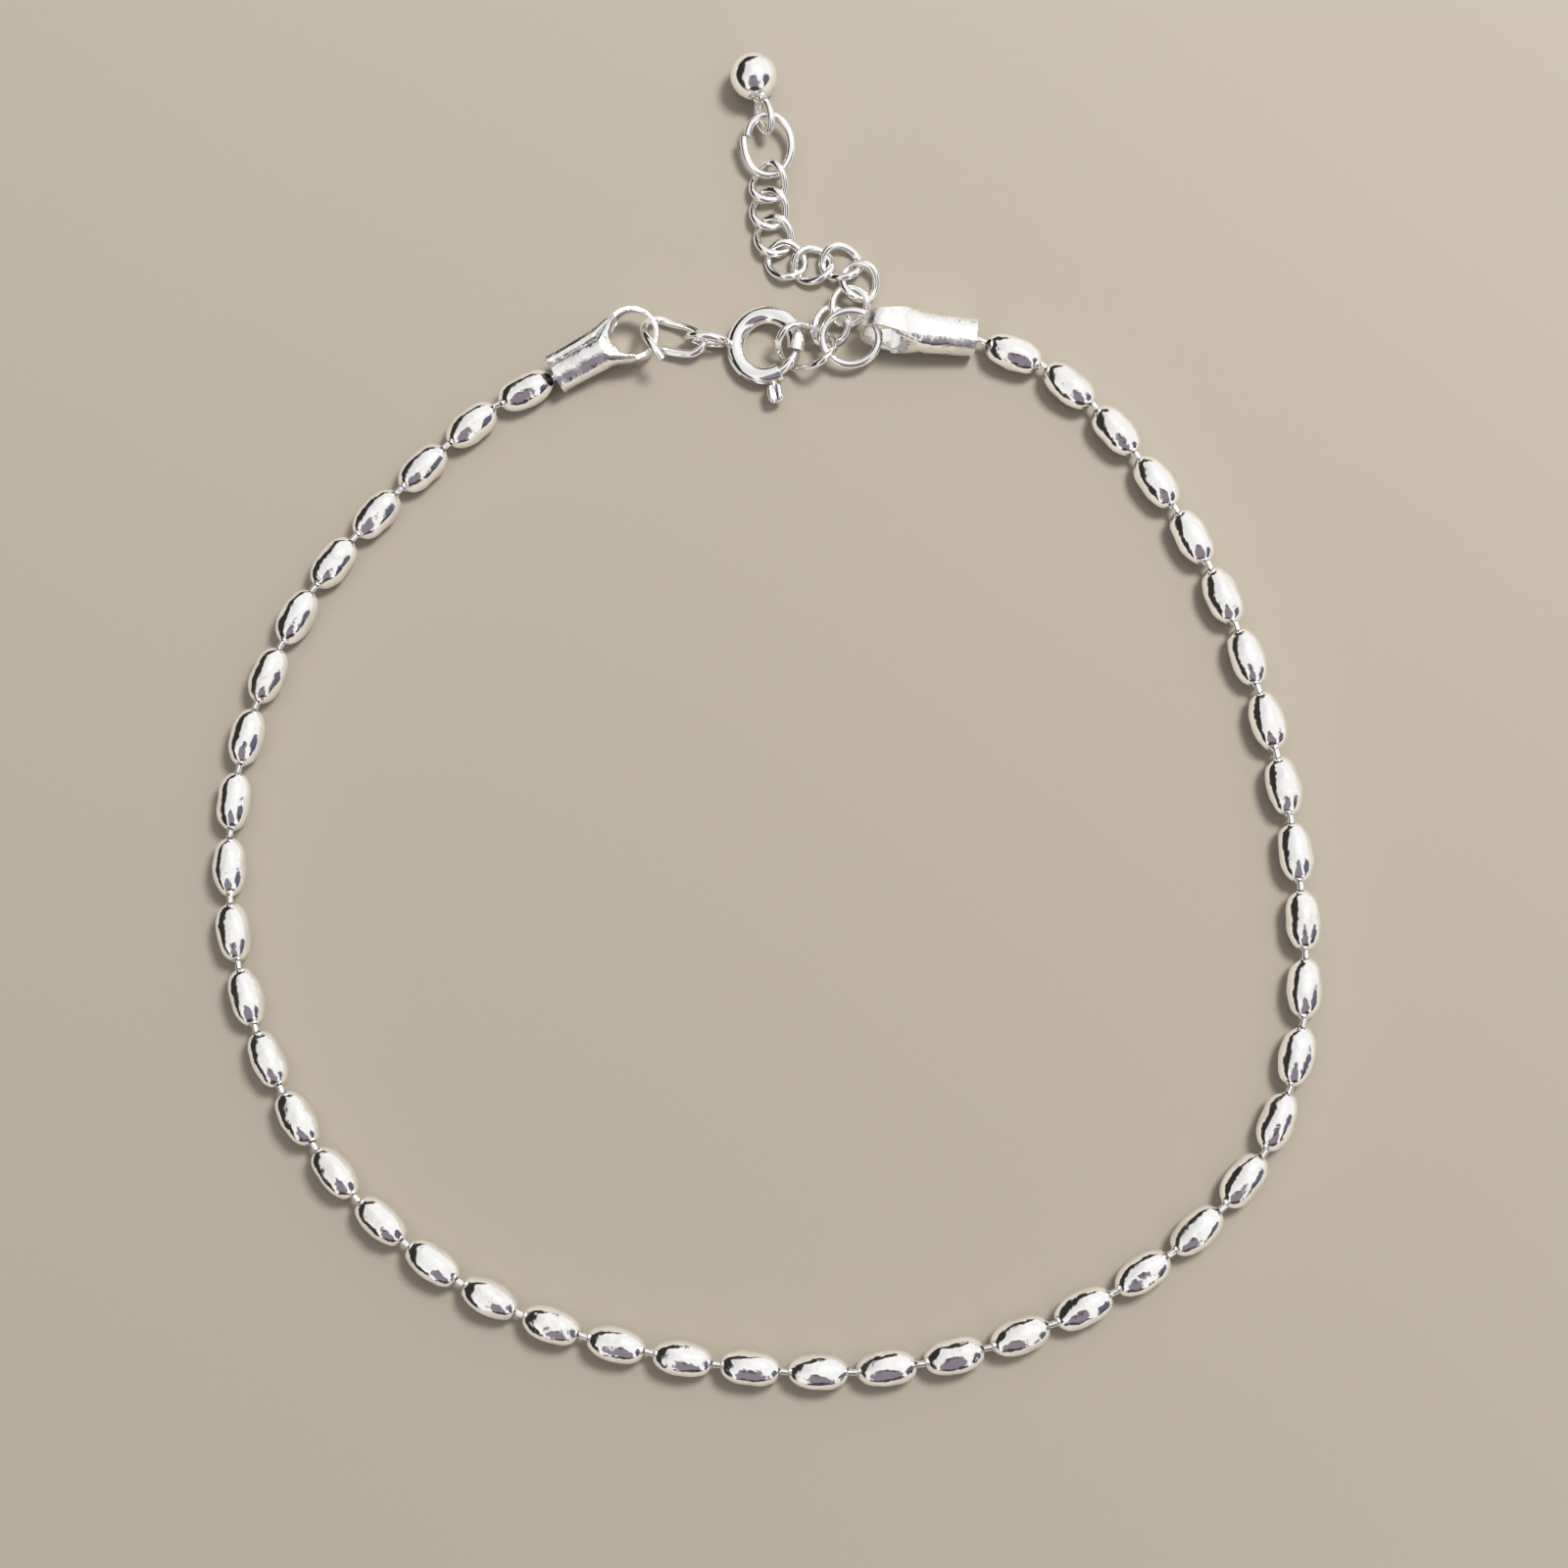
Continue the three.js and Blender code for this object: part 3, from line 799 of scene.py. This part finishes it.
def make_bolt():
    bm = bmesh.new()
    path = []
    radii = []
    for degrees in range(BOLT_START, BOLT_END + 1, BOLT_STEP):
        path.append(round_clasp(degrees))
        share = max(0.0, (degrees - BOLT_SHOULDER) / (BOLT_END - BOLT_SHOULDER))
        radii.append(blend(BOLT_RADIUS, BOLT_TIP_RADIUS, share))
    sweep_wire(bm, path, radii, BOLT_SIDES, False)
    closed_and_outward(bm)
    lug = bmesh.ops.create_uvsphere(
        bm, u_segments=LUG_SIDES, v_segments=LUG_ROWS, radius=1.0, matrix=turn(90, "Y"),
    )["verts"]
    for vert in lug:
        along, across, high = [signed_power(value, LUG_BOXINESS) for value in vert.co]
        groove = LUG_GROOVE * math.exp(-(across / LUG_GROOVE_SHARE) ** 2)
        half_height = LUG_HALF_HEIGHT * (1 - groove)
        vert.co = Vector((along * LUG_HALF_REACH, across * LUG_HALF_WIDTH, high * half_height))
    stand = INTO_CLASP @ turn(LUG_ANGLE, "Z") @ Matrix.Translation((LUG_CENTRE_RADIUS, 0, 0))
    bmesh.ops.transform(bm, matrix=stand, verts=lug)
    shank = [round_clasp(LUG_ANGLE), round_clasp(LUG_ANGLE, LUG_CENTRE_RADIUS)]
    sweep_wire(bm, shank, LUG_SHANK_RADIUS, LUG_SHANK_SIDES, False)
    bmesh.ops.recalc_face_normals(bm, faces=bm.faces)
    piece = finish_piece(bm, "spring_ring_bolt", clasp_silver)
    stands_for(piece, "clasp_bolt", "trigger")


make_clasp_tube()
make_clasp_tail()
make_bolt()


# Jump rings and extender


def make_wire_piece(name, node, wires):
    bm = bmesh.new()
    for path, radius, closed in wires:
        sweep_wire(bm, path, radius, WIRE_SIDES, closed)
    bmesh.ops.recalc_face_normals(bm, faces=bm.faces)
    piece = finish_piece(bm, name, wire_silver)
    stands_for(piece, node, "anklet")


# Each curb link heads from the link before it to the link after it
def extender_links():
    places = [Vector(link["place"]) for link in [HOOKED_LINK] + CURB_LINKS + [DROP_RING]]
    wires = [(link_path(HOOKED_LINK), HOOKED_LINK_WIRE_RADIUS, True)]
    for i, link in enumerate(CURB_LINKS):
        way = places[i + 2] - places[i]
        heading = math.degrees(math.atan2(way.y, way.x))
        wires.append((link_path({**CURB_SHAPE, **link, "heading": heading}), CURB_WIRE_RADIUS, True))
    return wires


jump_route = smooth_route([at(point) for point in CLASP_JUMP_ROUTE], CLASP_JUMP_STEPS)
make_wire_piece("clasp_open_ring", "clasp_jump_ring", [(jump_route, CLASP_JUMP_WIRE_RADIUS, False)])
make_wire_piece(
    "extender_round_ring", "extender_jump_ring",
    [(link_path(EXTENDER_RING), EXTENDER_RING_WIRE_RADIUS, True)],
)
make_wire_piece("extender_curb_links", "extender_chain", extender_links())
make_wire_piece(
    "drop_oval_ring", "drop_jump_ring",
    [(cut_ring_path(DROP_RING), DROP_RING_WIRE_RADIUS, False)],
)


# Ball


def make_ball():
    bm = bmesh.new()
    bmesh.ops.create_uvsphere(bm, u_segments=BALL_SIDES, v_segments=BALL_ROWS, radius=BALL_RADIUS)
    for vert in bm.verts:
        vert.co *= 1 + BALL_WOBBLE * (noise.noise(vert.co * BALL_WOBBLE_SCALE) - DENT_SINK)
    bmesh.ops.transform(bm, matrix=Matrix.Translation(at(BALL_PLACE)), verts=bm.verts)
    sweep_wire(bm, link_path(BALL_EYE), BALL_EYE_WIRE_RADIUS, WIRE_SIDES, True)
    way = (at(BALL_EYE["place"]) - at(BALL_PLACE)).normalized()
    neck = [at(BALL_PLACE) + way * row["reach"] for row in BALL_NECK]
    sweep_wire(bm, neck, [row["radius"] for row in BALL_NECK], BALL_NECK_SIDES, False)
    bmesh.ops.recalc_face_normals(bm, faces=bm.faces)
    piece = finish_piece(bm, "ball_with_eye", ball_silver)
    stands_for(piece, "ball_drop", "anklet")


make_ball()


# Floor, light and camera


def make_floor():
    bm = bmesh.new()
    bmesh.ops.create_grid(bm, x_segments=1, y_segments=1, size=FLOOR_SIZE / 2)
    material = bpy.data.materials.new("pale_floor")
    material.use_nodes = True
    nodes = material.node_tree.nodes
    join = material.node_tree.links.new
    surface = nodes["Principled BSDF"]
    surface.inputs["Roughness"].default_value = FLOOR_ROUGHNESS
    # Painted sheen: the Layer Weight's facing paints the base colour paler with the angle of view
    slant = nodes.new("ShaderNodeLayerWeight")
    painted_sheen_tone = nodes.new("ShaderNodeMix")
    painted_sheen_tone.data_type = "RGBA"
    painted_sheen_tone.inputs["A"].default_value = FLOOR_COLOR
    painted_sheen_tone.inputs["B"].default_value = FLOOR_PAINTED_SHEEN_COLOR
    join(slant.outputs["Facing"], painted_sheen_tone.inputs["Factor"])
    join(painted_sheen_tone.outputs["Result"], surface.inputs["Base Color"])
    finish_piece(bm, "floor", material)


def make_key_light():
    data = bpy.data.lights.new("key_light", "AREA")
    data.energy = KEY_POWER
    data.size = KEY_SIZE * MM
    key = bpy.data.objects.new("key_light", data)
    key.location = Vector(KEY_PLACE) * MM
    key.rotation_euler = Vector(KEY_PLACE).to_track_quat("Z", "Y").to_euler()
    bpy.context.scene.collection.objects.link(key)


def make_dome():
    world = bpy.data.worlds.new("studio_dome")
    world.use_nodes = True
    bpy.context.scene.world = world
    nodes = world.node_tree.nodes
    join = world.node_tree.links.new
    sky = nodes["Background"]
    sky.inputs["Strength"].default_value = DOME_STRENGTH
    way = nodes.new("ShaderNodeTexCoord")
    plain = nodes.new("ShaderNodeRGB")
    plain.outputs["Color"].default_value = DOME_COLOR
    color = plain.outputs["Color"]
    for patch in DOME_PATCHES:
        facing = nodes.new("ShaderNodeVectorMath")
        facing.operation = "DOT_PRODUCT"
        facing.inputs[1].default_value = Vector(patch["toward"]).normalized()
        join(way.outputs["Generated"], facing.inputs[0])
        soft = nodes.new("ShaderNodeMapRange")
        soft.interpolation_type = "SMOOTHSTEP"
        soft.inputs["From Min"].default_value = math.cos(math.radians(patch["radius"] + patch["edge"]))
        soft.inputs["From Max"].default_value = math.cos(math.radians(patch["radius"]))
        join(facing.outputs["Value"], soft.inputs["Value"])
        mix = nodes.new("ShaderNodeMix")
        mix.data_type = "RGBA"
        mix.inputs["B"].default_value = patch["color"]
        join(color, mix.inputs["A"])
        join(soft.outputs["Result"], mix.inputs["Factor"])
        color = mix.outputs["Result"]
    join(color, sky.inputs["Color"])


def make_camera():
    data = bpy.data.cameras.new("photo_camera")
    data.lens = CAMERA_LENS
    data.sensor_width = SENSOR_WIDTH
    data.clip_start = CAMERA_NEAR * MM
    back = Vector(CAMERA_BACK).normalized()
    right = Vector((0, 1, 0)).cross(back).normalized()
    up = back.cross(right)
    camera = bpy.data.objects.new("photo_camera", data)
    stand = Matrix((right, up, back)).transposed().to_4x4()
    place = (Vector(CAMERA_TARGET) + back * CAMERA_DISTANCE) * MM
    camera.matrix_world = Matrix.Translation(place) @ stand
    bpy.context.scene.collection.objects.link(camera)
    bpy.context.scene.camera = camera


make_floor()
make_key_light()
make_dome()
make_camera()
bpy.context.scene.view_settings.view_transform = "Standard"
